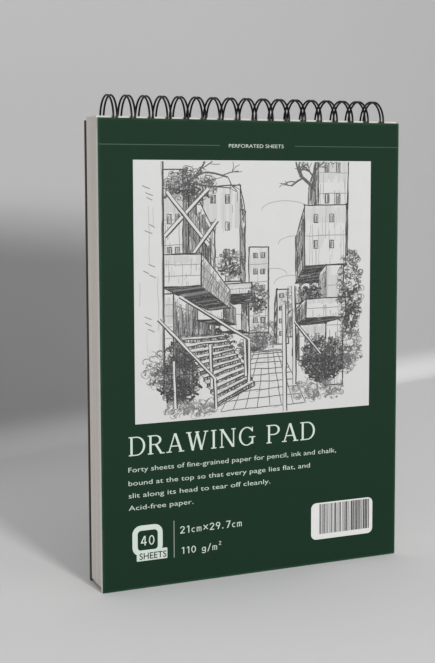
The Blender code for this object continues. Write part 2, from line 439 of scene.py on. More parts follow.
def rounded(left, top, right, foot, radius, steps=6):
    """A rectangle whose corners are quarter circles: each corner's centre plus radius times cos and sin."""
    corners = (
        (right - radius, top + radius, -90), (right - radius, foot - radius, 0),
        (left + radius, foot - radius, 90), (left + radius, top + radius, 180),
    )
    arcs = []
    for x, y, start in corners:
        turn = np.linspace(0, math.pi / 2, steps + 1) + math.radians(start)
        arcs.append(np.stack((x + radius * np.cos(turn), y + radius * np.sin(turn)), 1))
    return np.concatenate(arcs)


def limb(x0, y0, x1, y1, width):
    """A slanted stroke with level ends: both ends are width wide, measured level."""
    half = width / 2
    return np.array([(x0 - half, y0), (x0 + half, y0), (x1 + half, y1), (x1 - half, y1)], float)


def bowl(x, y, reach, rise, start, end, side, cap, steps=18):
    """A band on an ellipse, side thick where it crosses level and cap thick at its top and foot.

    The outer edge is the ellipse reach by rise; the inner one is the ellipse smaller by side and cap.
    """
    turn = np.radians(np.linspace(start, end, steps + 1))
    outer = np.stack((x + reach * np.cos(turn), y + rise * np.sin(turn)), 1)
    inner = np.stack((x + (reach - side) * np.cos(turn), y + (rise - cap) * np.sin(turn)), 1)
    return np.concatenate((outer, inner[::-1]))


def oval(x, y, reach, rise, thick):
    """A whole band on an ellipse, as its upper and its lower half."""
    return [bowl(x, y, reach, rise, start, start + 180, thick, thick) for start in (0, 180)]


def counterclockwise(outline):
    """The outline with its points in the order that gives it a positive area."""
    x, y = np.asarray(outline, float).T
    area = (x * np.roll(y, -1) - y * np.roll(x, -1)).sum()
    return outline if area > 0 else outline[::-1]


def plate(outlines, front, back):
    """A closed plate with the union of the outlines as its shape, from depth front to depth back.

    The outlines, in cover millimetres, are triangulated together; every edge with one triangle only
    is a rim edge and gets a wall.  Returns points in metres and faces that point outwards.
    """
    outlines = [counterclockwise(outline) for outline in outlines]
    flat = [Vector(p) for outline in outlines for p in outline]
    starts = np.cumsum([0] + [len(outline) for outline in outlines])
    loops = [list(range(a, b)) for a, b in zip(starts[:-1], starts[1:])]
    points, _, faces, _, _, owners = delaunay_2d_cdt(flat, [], loops, 0, 1e-5)
    faces = [face for face, owner in zip(faces, owners) if owner]
    used = sorted({v for face in faces for v in face})
    renumber = {v: i for i, v in enumerate(used)}
    at = np.array([points[v] for v in used])
    x, z = cover_point(at[:, 0], at[:, 1])
    count = len(used)
    edges = {}
    ordered = []
    for face in faces:
        ring = [renumber[v] for v in face]
        a, b, c = (np.array((x[v], z[v])) for v in ring[:3])
        if (b - a)[0] * (c - a)[1] - (b - a)[1] * (c - a)[0] < 0:
            ring.reverse()
        ordered.append(ring)
        for v, w in zip(ring, ring[1:] + ring[:1]):
            edges[(v, w)] = edges.get((v, w), 0) + 1
    rim = [(v, w) for v, w in edges if (w, v) not in edges]
    solid = ordered + [[v + count for v in reversed(ring)] for ring in ordered]
    solid += [[w, v, v + count, w + count] for v, w in rim]
    depth = np.concatenate((np.full(count, front), np.full(count, back)))
    return np.stack((np.tile(x, 2), depth, np.tile(z, 2)), 1), solid


def gather(parts):
    """Several (points, faces) joined as one."""
    points, faces, count = [], [], 0
    for some, rings in parts:
        points.append(some)
        faces += [[v + count for v in ring] for ring in rings]
        count += len(some)
    return np.concatenate(points), faces


def print_plate(name, groups, material, relief, ground=0.0):
    """Printed areas as one piece: each group of outlines is one plate, sunk a little in its ground."""
    front = COVER_LOW.y - ground - relief
    back = COVER_LOW.y - ground + SUNK
    points, faces = gather([plate(outlines, front, back) for outlines in groups])
    return add_piece(name, points, faces, "front_cover", material)


# ---------------------------------------------------------------- letters


def slab_letter(letter):
    """Outlines of a slab-serif capital in a unit-high box, y up, after its width.

    Stems are thick, arms and serifs are thin, and a bowl is a band on an ellipse.  A space is empty.
    """
    stem, hair, slab, over = 0.112, 0.056, 0.054, 0.085

    def upright(x, thick=stem, foot=True):
        """A stem centred on x with a slab at its head and, mostly, one at its foot."""
        left, right = x - thick / 2, x + thick / 2
        feet = [rectangle(left - over, 0, right + over, slab)] if foot else []
        return [rectangle(left, 0, right, 1), *feet, rectangle(left - over, 1 - slab, right + over, 1)]

    drawn = {
        "D": (0.9, upright(0.17) + [
            rectangle(0.17, 1 - hair, 0.42, 1), rectangle(0.17, 0, 0.42, hair),
            bowl(0.42, 0.5, 0.45, 0.5, -90, 90, stem, hair),
        ]),
        "P": (0.8, upright(0.17) + [
            rectangle(0.17, 1 - hair, 0.44, 1), rectangle(0.17, 0.44, 0.44, 0.44 + hair),
            bowl(0.44, 0.72, 0.33, 0.28, -90, 90, stem, hair),
        ]),
        "R": (0.9, upright(0.17) + [
            rectangle(0.17, 1 - hair, 0.42, 1), rectangle(0.17, 0.48, 0.46, 0.48 + hair),
            bowl(0.42, 0.74, 0.31, 0.26, -90, 90, stem, hair),
            limb(0.44, 0.52, 0.72, 0.03, stem * 1.15), rectangle(0.65, 0, 0.9, slab),
        ]),
        "A": (0.96, [
            limb(0.46, 1.0, 0.15, 0.0, hair * 1.2), limb(0.48, 1.0, 0.8, 0.0, stem * 1.12),
            rectangle(0.25, 0.3, 0.7, 0.3 + hair), rectangle(0.02, 0, 0.29, slab),
            rectangle(0.66, 0, 0.95, slab),
        ]),
        "W": (1.22, [
            limb(0.16, 1.0, 0.38, 0.0, stem * 1.1), limb(0.60, 0.96, 0.38, 0.0, hair * 1.15),
            limb(0.60, 0.96, 0.84, 0.0, stem * 1.1), limb(1.08, 1.0, 0.84, 0.0, hair * 1.15),
            rectangle(0.02, 1 - slab, 0.3, 1), rectangle(0.5, 1 - slab, 0.72, 1),
            rectangle(0.96, 1 - slab, 1.2, 1),
        ]),
        "I": (0.4, upright(0.2)),
        "N": (0.97, upright(0.16, hair * 1.15) + upright(0.8, hair * 1.15, False) + [
            limb(0.17, 1.0, 0.78, 0.0, stem * 1.2),
        ]),
        "G": (0.98, [
            bowl(0.48, 0.5, 0.43, 0.51, 38, 322, stem, hair, 30),
            rectangle(0.75, 0.07, 0.75 + stem * 0.8, 0.42), rectangle(0.6, 0.42, 0.95, 0.42 + slab),
            rectangle(0.76, 0.74, 0.76 + hair, 0.99),
        ]),
        " ": (0.42, []),
    }
    return drawn[letter]


def digit(mark):
    """Outlines of a plain digit or sign in a unit-high box, y up, after its width."""
    line = 0.11
    soft, thin, slant = line * 0.9, line * 0.8, line * 1.2
    drawn = {
        "0": (0.62, oval(0.3, 0.5, 0.28, 0.5, line)),
        "1": (0.5, [rectangle(0.27, 0, 0.27 + line, 1), limb(0.3, 1.0, 0.12, 0.78, line * 1.3)]),
        "2": (0.62, [
            bowl(0.3, 0.72, 0.27, 0.28, -25, 180, line, line), limb(0.5, 0.62, 0.1, 0.06, line * 1.4),
            rectangle(0.03, 0, 0.58, line),
        ]),
        "4": (0.66, [
            rectangle(0.4, 0, 0.4 + line, 1), limb(0.42, 1.0, 0.08, 0.3, slant),
            rectangle(0.03, 0.24, 0.62, 0.24 + line),
        ]),
        "7": (0.62, [rectangle(0.03, 1 - line, 0.58, 1), limb(0.52, 0.95, 0.22, 0, slant)]),
        "9": (0.62, oval(0.3, 0.7, 0.27, 0.3, line) + [limb(0.51, 0.66, 0.3, 0.0, slant)]),
        "x": (0.68, [limb(0.08, 0.18, 0.58, 0.82, slant), limb(0.58, 0.18, 0.08, 0.82, slant)]),
        ".": (0.4, [rectangle(0.08, 0, 0.08 + line * 1.3, line * 1.3)]),
        "c": (0.5, [bowl(0.28, 0.32, 0.25, 0.32, 50, 310, soft, soft)]),
        "m": (0.68, [
            rectangle(0.04, 0, 0.04 + thin, 0.62), rectangle(0.28, 0, 0.28 + thin, 0.6),
            rectangle(0.52, 0, 0.52 + thin, 0.56), rectangle(0.04, 0.56, 0.5, 0.56 + thin),
            bowl(0.5, 0.5, 0.106, 0.145, 0, 90, thin, thin, 5),
        ]),
        "g": (0.6, oval(0.28, 0.34, 0.24, 0.3, soft) + [
            rectangle(0.43, -0.1, 0.43 + soft, 0.62), bowl(0.28, -0.08, 0.25, 0.2, 180, 360, soft, soft),
        ]),
        "/": (0.48, [limb(0.06, -0.1, 0.4, 1.05, line)]),
        " ": (0.42, []),
    }
    return drawn[mark]


def set_line(words, draw, left, baseline, height, gap, width=None):
    """Outlines of a line of marks: each glyph's box is scaled to height and set after the last one.

    A width squeezes or stretches the whole line to it.  Returns a list of groups, one a glyph.
    """
    groups, x = [], 0.0
    for mark in words:
        advance, outlines = draw(mark)
        groups.append([outline + (x, 0.0) for outline in outlines])
        x += advance + gap
    squeeze = height if width is None else width / (x - gap)
    return [
        [np.stack((left + o[:, 0] * squeeze, baseline - o[:, 1] * height), 1) for o in group]
        for group in groups if group
    ]


def words(text, left, right, baseline, size, weight=-0.006):
    """A line of small type in the built-in face, as closed letters between left and right.

    Each letter is a slab one unit deep: x and y are cover millimetres, y down, and z is 0 or 1.  Its
    outline is moved out by weight, in parts of the type's size.
    """
    curve = bpy.data.curves.new("words", "FONT")
    curve.body = text
    curve.extrude = 0.5
    curve.resolution_u = 3
    curve.offset = weight
    line = bpy.data.objects.new("words", curve)
    bpy.context.scene.collection.objects.link(line)
    bpy.context.view_layer.update()
    mesh = bpy.data.meshes.new_from_object(line.evaluated_get(bpy.context.evaluated_depsgraph_get()))
    bpy.data.objects.remove(line)
    solid = bmesh.new()
    solid.from_mesh(mesh)
    bmesh.ops.remove_doubles(solid, verts=solid.verts, dist=1e-5)
    at = np.array([vertex.co for vertex in solid.verts])
    faces = [[vertex.index for vertex in face.verts] for face in solid.faces]
    solid.free()
    across = np.interp(at[:, 0], (at[:, 0].min(), at[:, 0].max()), (left, right))
    return np.stack((across, baseline - at[:, 1] * size, at[:, 2] + 0.5), 1), faces


def print_words(name, lines, material, relief, ground=0.0):
    """Lines of small type as one printed piece, standing out of the card by relief."""
    points, faces = gather([words(*line) for line in lines])
    x, z = cover_point(points[:, 0], points[:, 1])
    depth = COVER_LOW.y - ground + SUNK - points[:, 2] * (relief + SUNK)
    return add_piece(name, np.stack((x, depth, z), 1), faces, "front_cover", material)


# ---------------------------------------------------------------- cover


class PAD_OT_boards(bpy.types.Operator):
    """Finish the printed card, the board under it and the lining behind it"""

    bl_idname = "pad.boards"
    bl_label = "Finish the front cover"

    def execute(self, context):
        cover, paper = settings().cover, settings().paper
        card = card_finish("cover_card", cover.card, COVER_LOW, COVER_HIGH, cover.wear)
        one_sheet = 0.4  # a pitch so wide that the lining has one tone
        dress("front_cover_print", card)
        dress("front_cover_board", board_finish("pale_board", paper.board, 0.35))
        dress("front_cover_lining", paper_finish("lining_paper", paper.board, one_sheet, COVER_HIGH.x))
        return {"FINISHED"}


class PAD_OT_print(bpy.types.Operator):
    """Print the rules, the title, the small lines, the badge, the bars and the picture's ground"""

    bl_idname = "pad.print"
    bl_label = "Print the cover"

    def execute(self, context):
        cover = settings().cover
        mint = ink_finish("mint_print", cover.mint)
        ground = ink_finish("picture_ground", cover.panel, 0.58)
        print_plate("picture_ground", [[rectangle(*PICTURE_EDGES)]], ground, GROUND_RELIEF)
        rules = [[rectangle(left, 15.95, right, 16.45)] for left, right in ((0.5, 80.4), (133.2, 210.5))]
        print_plate("heading_rules", rules, ink_finish("rule_print", cover.rule), cover.relief)
        print_words("heading", [("PERFORATED SHEETS", 86.6, 125.1, 17.5, 3.3)], mint, cover.relief)
        title = set_line("DRAWING PAD", slab_letter, 17.6, 211.6, cover.title_height / MM, 0.075, 131.4)
        print_plate("title", title, mint, cover.relief)
        lines = (
            ("Forty sheets of fine-grained paper for pencil, ink and chalk,", 17.6, 164.7, 222.0, 4.5),
            ("bound at the top so that every page lies flat, and", 17.6, 145.0, 230.6, 4.5),
            ("slit along its head to tear off cleanly.", 17.6, 115.7, 238.6, 4.5),
            ("Acid-free paper.", 17.6, 61.2, 246.6, 4.5),
        )
        print_words("small_lines", lines, mint, cover.relief)
        frame_outlines = ring_outlines((19.8, 257.0, 40.1, 276.6), 5.6, (23.3, 260.4, 36.8, 273.4), 2.4)
        badge = [frame_outlines + [rounded(22.6, 273.2, 43.2, 280.2, 0.5)]]
        badge += set_line("40", digit, 25.2, 270.2, 6.2, 0.16, 9.6)
        print_plate("badge", badge, mint, cover.relief)
        faint = ink_finish("badge_rule_print", tinted(cover.mint, 0.5))
        print_plate("badge_rule", [[rectangle(47.6, 256.4, 48.1, 280.6)]], faint, cover.relief)
        sizes = set_line("21cmx29.7cm", digit, 51.9, 265.3, 4.7, 0.12, 43.6)
        sizes += set_line("110 g/m", digit, 52.6, 278.9, 4.5, 0.12, 25.4)
        sizes += set_line("2", digit, 78.8, 276.0, 2.6, 0.12, 1.8)
        print_plate("size_lines", sizes, mint, cover.relief)
        dark = ink_finish("bar_print", cover.bar)
        tab = [("SHEETS", 24.4, 42.6, 279.2, 5.9, 0.008)]
        print_words("badge_tab_words", tab, dark, cover.relief, cover.relief)
        panel = [[rounded(146.1, 255.8, 193.1, 281.0, 3.8)]]
        print_plate("bar_panel", panel, ink_finish("bar_ground_print", cover.bar_ground), cover.relief)
        bars = bar_outlines(np.random.default_rng(3), 152.3, 190.6, 256.8, 277.4)
        print_plate("bars", bars, dark, cover.relief, cover.relief)
        return {"FINISHED"}


def ring_outlines(outer, outer_radius, inner, inner_radius):
    """A rounded frame as two halves that overlap: each is half the outer and half the inner outline."""
    big = rounded(*outer, outer_radius)
    small = rounded(*inner, inner_radius)
    half = len(big) // 2
    first = np.concatenate((big[:half], small[:half][::-1]))
    second = np.concatenate((big[half:], small[half:][::-1]))
    joint_a = np.array([big[half - 1], big[half], small[half], small[half - 1]])
    joint_b = np.array([big[-1], big[0], small[0], small[-1]])
    return [first, second, joint_a, joint_b]


def bar_outlines(rng, left, right, top, foot):
    """Upright bars of random widths and gaps. They stand for nothing and encode nothing."""
    groups, x = [], left
    shares = (0.5, 0.32, 0.18)
    while x < right - 0.5:
        width = rng.choice((0.35, 0.6, 0.9), p=shares)
        groups.append([rectangle(x, top, min(x + width, right), foot)])
        x += width + rng.choice((0.35, 0.6, 0.95), p=shares)
    return groups


# ---------------------------------------------------------------- picture

PICTURE_EDGES = (22.4, 25.6, 189.7, 191.6)  # left, top, right and foot, in cover millimetres
GROUND_RELIEF = 0.05 * MM
CREST_LEAST, CREST_MORE = 0.004, 0.028  # millimetres that a pale stroke stands out, and a dark one more


class Drawing:
    """A pen drawing in the picture's millimetres, x to the right and y up from its lower left corner.

    Things are drawn far first.  hide() marks an area as covered from then on, and a stroke keeps only
    what nothing nearer covers.
    """

    CELL = 0.25  # side of a cell that remembers which layer covers it
    SHORTEST = 0.4  # a stroke under this isn't drawn
    BLUNT = 0.12  # from a stroke's end to its first full width

    def __init__(self, width, height, seed, weight, wobble):
        self.size = np.array((width, height))
        self.rng = np.random.default_rng(seed)
        self.weight = weight
        self.wobble = wobble
        shape = (int(height / self.CELL) + 2, int(width / self.CELL) + 2)
        self.cover = np.zeros(shape, int)
        y, x = np.mgrid[0 : shape[0], 0 : shape[1]]
        self.grid = np.stack(((x + 0.5) * self.CELL, (y + 0.5) * self.CELL), -1)
        self.layer = 0
        self.strokes = []

    def hide(self, outline):
        """Starts a new, nearer layer that covers a convex outline: inside it is on one side of each edge."""
        self.layer += 1
        outline = np.asarray(outline, float)
        edges = np.roll(outline, -1, 0) - outline
        away = self.grid[:, :, None, :] - outline
        side = edges[:, 0] * away[..., 1] - edges[:, 1] * away[..., 0]
        inside = (side >= 0).all(-1) | (side <= 0).all(-1)
        self.cover[inside] = self.layer

    def stroke(self, points, width, tone, wobble=1.0):
        """A stroke through points, resampled evenly and strayed by smooth noise."""
        points = np.asarray(points, float)
        steps = np.linalg.norm(np.diff(points, axis=0), axis=1)
        length = steps.sum()
        if length < self.SHORTEST:
            return
        count = int(np.clip(length / 4.0, 2, 40))
        path = along_path(points, np.linspace(0, length, count + 1))
        drift = self.rng.normal(0, 1, (count + 1, 2))
        drift = (drift + np.roll(drift, 1, 0)) / 1.4
        path = path + drift * self.wobble * wobble * min(1.0, 0.25 + length / 22)
        self.fine(path, width, tone)

    def outline(self, corners, width=1.0, tone=1.0, overshoot=1.0, twice=0.5):
        """Each edge of an outline, run a little past its corners, and sometimes drawn twice."""
        corners = np.asarray(corners, float)
        for a, b in zip(corners, np.roll(corners, -1, 0)):
            along = (b - a) / max(np.linalg.norm(b - a), 1e-6)
            for again in range(1 + (self.rng.random() < twice)):
                past = self.rng.random(2) * overshoot
                shift = self.rng.normal(0, 0.22, 2) * again
                ends = (a - along * past[0] + shift, b + along * past[1] + shift)
                self.stroke(ends, width * (1 - 0.35 * again), tone)

    def hatch(self, outline, angle, gap, width=0.7, tone=0.6, keep=(0.2, 1.0), miss=0.15):
        """Parallel strokes across a convex outline: for each scan line, the span between its crossings."""
        outline = np.asarray(outline, float)
        turn = math.radians(angle)
        along = np.array((math.cos(turn), math.sin(turn)))
        across = np.array((-along[1], along[0]))
        u, v = outline @ along, outline @ across
        scan = np.arange(v.min() + gap * 0.5, v.max(), gap)
        scan = scan + self.rng.normal(0, gap * 0.25, len(scan))
        u2, v2 = np.roll(u, -1), np.roll(v, -1)
        rise = np.where(np.abs(v2 - v) < 1e-9, 1e-9, v2 - v)
        share = (scan[:, None] - v) / rise
        cross = u + (u2 - u) * share
        valid = (share >= 0) & (share <= 1)
        low = np.where(valid, cross, np.inf).min(1)
        high = np.where(valid, cross, -np.inf).max(1)
        for s, a, b in zip(scan, low, high):
            if not b > a or self.rng.random() < miss:
                continue
            part = self.rng.uniform(*keep)
            start = a + (b - a) * self.rng.uniform(0, 1 - part) * (self.rng.random() > 0.45)
            ends = np.array((start, start + (b - a) * part))
            self.stroke(ends[:, None] * along + s * across, width, tone * self.rng.uniform(0.6, 1.2))

    def solid(self, outline):
        """A dark area: strokes so close that they run together, with a ragged edge."""
        self.hatch(outline, 6, 0.55, 1.5, 1.2, (0.95, 1.0), 0.0)

    def wash(self, outline, tone):
        """A pale grey area: wide soft strokes side by side under the pen lines."""
        self.hatch(outline, 90, 1.9, 3.6, tone, (0.7, 1.0), 0.06)

    def leaves(self, x, y, reach, rise, count, size=1.6, tone=0.8, width=0.8, dark=0.35):
        """Foliage: small broken lobes scattered over an ellipse, with dark dabs low in it for depth."""
        for _ in range(count):
            turn, out = self.rng.uniform(0, 2 * math.pi), math.sqrt(self.rng.random())
            middle = np.array((x + reach * out * math.cos(turn), y + rise * out * math.sin(turn)))
            start = self.rng.uniform(0, 2 * math.pi)
            radius = size * self.rng.uniform(0.5, 1.2)
            sweep = np.linspace(0, self.rng.uniform(2.0, 4.6), 9)
            lobe = 1 + 0.32 * np.abs(np.sin(sweep * 2.6 + start))
            loop = np.stack((np.cos(start + sweep), np.sin(start + sweep) * 0.8), 1)
            self.fine(middle + loop * (radius * lobe)[:, None], width, tone * self.rng.uniform(0.5, 1.2))
            if self.rng.random() < dark:
                tick = middle + self.rng.normal(0, radius * 0.4, (2, 2))
                self.stroke(np.stack((tick[0], tick[0] + (tick[1] - tick[0]) * 1.5)), width * 2.2, tone)
        for _ in range(int(count * dark * 0.55)):
            dab = np.array((x + reach * self.rng.normal(0, 0.36), y - rise * self.rng.uniform(-0.1, 0.8)))
            lean = self.rng.normal(0, size * 0.6, 2)
            self.stroke((dab - lean, dab + lean), width * 2.6, tone * 1.1)

    def fine(self, points, width, tone):
        """A stroke kept as it is."""
        self.strokes.append((np.asarray(points, float), width * self.weight, tone, self.layer))

    def branch(self, start, angle, length, width, depth):
        """A bough and its twigs: each one bends at random and carries two or three thinner ones."""
        turn = angle + np.cumsum(self.rng.normal(0, 0.16, 5))
        step = np.stack((np.cos(turn), np.sin(turn)), 1) * length / 5
        path = np.concatenate((np.array(start)[None], np.array(start) + np.cumsum(step, 0)))
        self.stroke(path, width, 0.9, 0.4)
        if depth == 0:
            return
        for _ in range(self.rng.integers(2, 4)):
            k = self.rng.integers(2, 6)
            side = self.rng.choice((-1, 1)) * self.rng.uniform(0.35, 0.9)
            self.branch(path[k], turn[k - 1] + side, length * 0.62, width * 0.6, depth - 1)

    def runs(self):
        """The strokes cut to what is seen: a stretch stays where its cells hold no nearer layer.

        Each stretch is resampled with a point close to either end, so that it ends bluntly.
        """
        for path, width, tone, layer in self.strokes:
            length = np.linalg.norm(np.diff(path, axis=0), axis=1).sum()
            spots = np.linspace(0, length, max(int(length / 0.35), 4))
            dense = along_path(path, spots)
            seen = ((dense > 0.5) & (dense < self.size - 0.5)).all(1)
            cell = np.clip((dense / self.CELL).astype(int), 0, np.array(self.cover.shape)[::-1] - 1)
            seen &= self.cover[cell[:, 1], cell[:, 0]] <= layer
            bounds = np.flatnonzero(np.diff(np.concatenate(([0], seen.astype(int), [0]))))
            for a, b in zip(bounds[::2], bounds[1::2]):
                start, end = spots[a], spots[b - 1]
                if end - start < 0.5:
                    continue
                count = max(2, min(len(path), int((end - start) / 1.6) + 2))
                inner = np.linspace(start + self.BLUNT, end - self.BLUNT, count)
                yield along_path(path, np.concatenate(([start], inner, [end]))), width, tone


def along_path(points, spots):
    """Points of a polyline at the given distances along it."""
    steps = np.linalg.norm(np.diff(points, axis=0), axis=1)
    run = np.concatenate(([0], np.cumsum(steps)))
    return np.stack([np.interp(spots, run, points[:, k]) for k in (0, 1)], 1)


def bead_faces(rings):
    """Triangles of a ridge with three points a ring and a point at either end, numbered last."""
    first, last = 3 * rings, 3 * rings + 1
    k = 3 * np.arange(rings - 1)[:, None, None]
    walls = np.array([(0, 1, 4), (0, 4, 3), (1, 2, 5), (1, 5, 4), (2, 0, 3), (2, 3, 5)])[None] + k
    top = last - 4
    caps = [(first, 1, 0), (first, 2, 1), (first, 0, 2), (last, top, top + 1), (last, top + 1, top + 2),
            (last, top + 2, top)]
    return np.concatenate((walls.reshape(-1, 3), caps))


def beads(strokes, ground):
    """Strokes as closed low ridges on the picture's ground, all strokes of one length at a time.

    The half width at share s of a stroke is width / 2 times (0.72 + 0.28 sin(pi s)); the edges lie on the
    ground, the crest stands off it by more for a darker stroke, and the ends are points.
    Returns points, triangles and the tone at each point.
    """
    groups = {}
    for path, width, tone in strokes:
        groups.setdefault(len(path), []).append((path, width, tone))
    all_points, all_faces, all_tones, offset = [], [], [], 0
    for count, some in groups.items():
        path = np.stack([one[0] for one in some])
        width = np.array([one[1] for one in some])[:, None]
        tone = np.clip([one[2] for one in some], 0, 1)[:, None]
        share = np.linspace(0, 1, count)[None]
        half = width / 2 * (0.72 + 0.28 * np.sin(math.pi * share)) * MM
        way = np.gradient(path, axis=1)
        way /= np.maximum(np.linalg.norm(way, axis=2, keepdims=True), 1e-9)
        x, z = cover_point(PICTURE_EDGES[0] + path[..., 0], PICTURE_EDGES[3] - path[..., 1])
        edge = np.full_like(x, ground - 0.001 * MM)
        crest = np.broadcast_to(ground - (CREST_LEAST + CREST_MORE * tone) * MM, x.shape)
        left = np.stack((x - way[..., 1] * half, edge, z + way[..., 0] * half), -1)
        right = np.stack((x + way[..., 1] * half, edge, z - way[..., 0] * half), -1)
        ridge = np.stack((x, crest, z), -1)
        rings = np.stack((left, ridge, right), 2)[:, 1:-1].reshape(len(some), -1, 3)
        ends = np.stack((x, edge, z), -1)[:, (0, -1)]
        points = np.concatenate((rings, ends), 1)
        each = points.shape[1]
        starts = offset + each * np.arange(len(some))
        all_faces.append((bead_faces(count - 2)[None] + starts[:, None, None]).reshape(-1, 3))
        all_points.append(points.reshape(-1, 3))
        all_tones.append(np.repeat(tone[:, 0], each))
        offset += each * len(some)
    return np.concatenate(all_points), np.concatenate(all_faces), np.concatenate(all_tones)


def ink_piece(name, strokes, material):
    """Strokes as one piece, with their density in the attribute tone."""
    points, faces, tones = beads(strokes, COVER_LOW.y - GROUND_RELIEF)
    piece = add_piece(name, points, faces.tolist(), "front_cover", material)
    carried = piece.data.attributes.new("tone", "FLOAT", "POINT")
    carried.data.foreach_set("value", tones.astype(np.float32))


class Lane:
    """Plain blocks drawn towards one vanishing point, in the picture's millimetres."""

    def __init__(self, pen):
        self.pen = pen
        self.vanish = np.array((92.0, 50.0))

    def back(self, corner, share):
        """A corner carried a share of the way to the vanishing point."""
        corner = np.array(corner, float)
        return corner + (self.vanish - corner) * share

    def pane(self, corners, gap=0.6, tone=0.95):
        """A window: dense upright strokes and a frame."""
        self.pen.hatch(corners, 90, gap, 0.95, tone, (0.8, 1.0), 0.04)
        self.pen.outline(corners, 0.7, 1.0, 0.3, 0.2)

    def block(self, x0, x1, y0, y1, share, dark, rows, courses=0, front_tone=0.3):
        """A block: its front rectangle, the side that faces the lane and, over the eye, its underside."""
        pen = self.pen
        inner = x1 if (x0 + x1) / 2 < self.vanish[0] else x0
        front = np.array([(x0, y0), (x1, y0), (x1, y1), (x0, y1)], float)
        side = [(inner, y0), self.back((inner, y0), share), self.back((inner, y1), share), (inner, y1)]
        if y0 > self.vanish[1] + 4:
            under = [(x0, y0), (x1, y0), self.back((x1, y0), share), self.back((x0, y0), share)]
            pen.hide(under)
            pen.solid(under)
            pen.outline(under, 1.6, 1.0)
        pen.hide(side)
        pen.wash(side, 0.12 + 0.38 * dark)
        pen.hatch(side, 90, 1.7 - 0.9 * dark, 0.75, 0.45 + 0.5 * dark, (0.35, 1.0), 0.12)
        if dark > 0.65:
            pen.hatch(side, 64, 1.2, 0.9, 0.75, (0.3, 0.9), 0.2)
        if dark > 0.9:
            pen.hatch(side, 90, 0.9, 1.3, 1.0, (0.4, 0.9), 0.15)
        pen.outline(side, 1.1, 0.95)
        for i in range(rows):
            high = y1 - (y1 - y0) * (i + 0.3) / (rows + 0.2)
            low = high - (y1 - y0) * 0.4 / (rows + 0.2)
            for near, far in ((0.2, 0.42), (0.6, 0.8)):
                self.pane([
                    self.back((inner, low), share * near), self.back((inner, low), share * far),
                    self.back((inner, high), share * far), self.back((inner, high), share * near),
                ])
        pen.hide(front)
        band = y1 - (y1 - y0) * 0.3
        pen.wash([(x0, band), (x1, band), (x1, y1), (x0, y1)], 0.1 + 0.1 * front_tone)
        pen.hatch(front, 90, 2.4, 0.6, front_tone + 0.1, (0.1, 0.7), 0.2)
        pen.hatch(front, 90, 1.6, 0.55, front_tone, (0.05, 0.3), 0.3)
        pen.outline(front, 1.2, 1.0)
        for i in range(rows):
            high = y1 - (y1 - y0) * (i + 0.35) / (rows + 0.3)
            low = high - min((y1 - y0) * 0.3 / (rows + 0.3), 6.0)
            for k in (0.22, 0.6)[: 1 + (x1 - x0 > 12)]:
                a = x0 + (x1 - x0) * k
                self.pane([(a, low), (a + 3.0, low), (a + 3.0, high), (a, high)], 0.7, 0.8)
        for y in np.linspace(y0, y1, courses + 2)[1:-1]:
            pen.stroke(((x0, y), (x1, y)), 0.8, 0.6)
            pen.stroke(((inner, y), self.back((inner, y), share)), 0.8, 0.8)

    def bar(self, start, end, width):
        """A straight pale bar: it covers what is behind it and shows its two edges, one of them heavy."""
        start, end = np.array(start, float), np.array(end, float)
        along = (end - start) / np.linalg.norm(end - start)
        half = np.array((-along[1], along[0])) * width / 2
        self.pen.hide([start - half, end - half, end + half, start + half])
        self.pen.stroke((start - half, end - half), 1.5, 1.0, 0.5)
        self.pen.stroke((start + half, end + half), 0.9, 0.9, 0.5)

    def steps(self, count, left, right, rise):
        """A flight of steps: treads between two sloping lines, each with a dark riser under it."""
        pen = self.pen
        share = np.linspace(0, 1, count + 1)[:, None]
        a = np.array(left[0]) * (1 - share) + np.array(left[1]) * share
        b = np.array(right[0]) * (1 - share) + np.array(right[1]) * share
        for i in range(count):
            tread = [a[i], b[i], b[i + 1] + (0, rise), a[i + 1] + (0, rise)]
            riser = [a[i + 1] + (0, rise), b[i + 1] + (0, rise), b[i + 1], a[i + 1]]
            pen.hide(tread)
            pen.outline(tread, 0.8, 0.9, 0.6, 0.2)
            pen.hatch(tread, 6, 1.2, 0.6, 0.5, (0.2, 0.6), 0.3)
            pen.hide(riser)
            pen.hatch(riser, 90, 0.75, 1.1, 1.0, (0.7, 1.0), 0.05)
            pen.outline(riser, 1.2, 1.0, 0.6, 0.2)

    def paving(self, near, far, lengthways, crossways):
        """Flagstones: lines that run to the vanishing point and joints that close up with distance."""
        pen = self.pen
        near, far = np.array(near, float), np.array(far, float)
        pen.hide([near[0], near[1], far[1], far[0]])
        for k in np.linspace(0, 1, lengthways):
            a = near[0] + (near[1] - near[0]) * k
            b = far[0] + (far[1] - far[0]) * k
            for low, high in ((0.0, 0.35), (0.3, 0.7), (0.66, 1.0)):
                if pen.rng.random() < 0.8:
                    pen.stroke((a + (b - a) * low, a + (b - a) * high), 0.9, 0.8)
        for k in 1 - (1 - np.linspace(0, 1, crossways)) ** 1.7:
            a, b = near[0] + (far[0] - near[0]) * k, near[1] + (far[1] - near[1]) * k
            pen.stroke((a, b + pen.rng.normal(0, 0.3, 2)), 1.0, 0.85)
            pen.hatch([a, b, b - (0, 1.6), a - (0, 1.6)], 8, 1.1, 0.6, 0.5, (0.1, 0.4), 0.4)


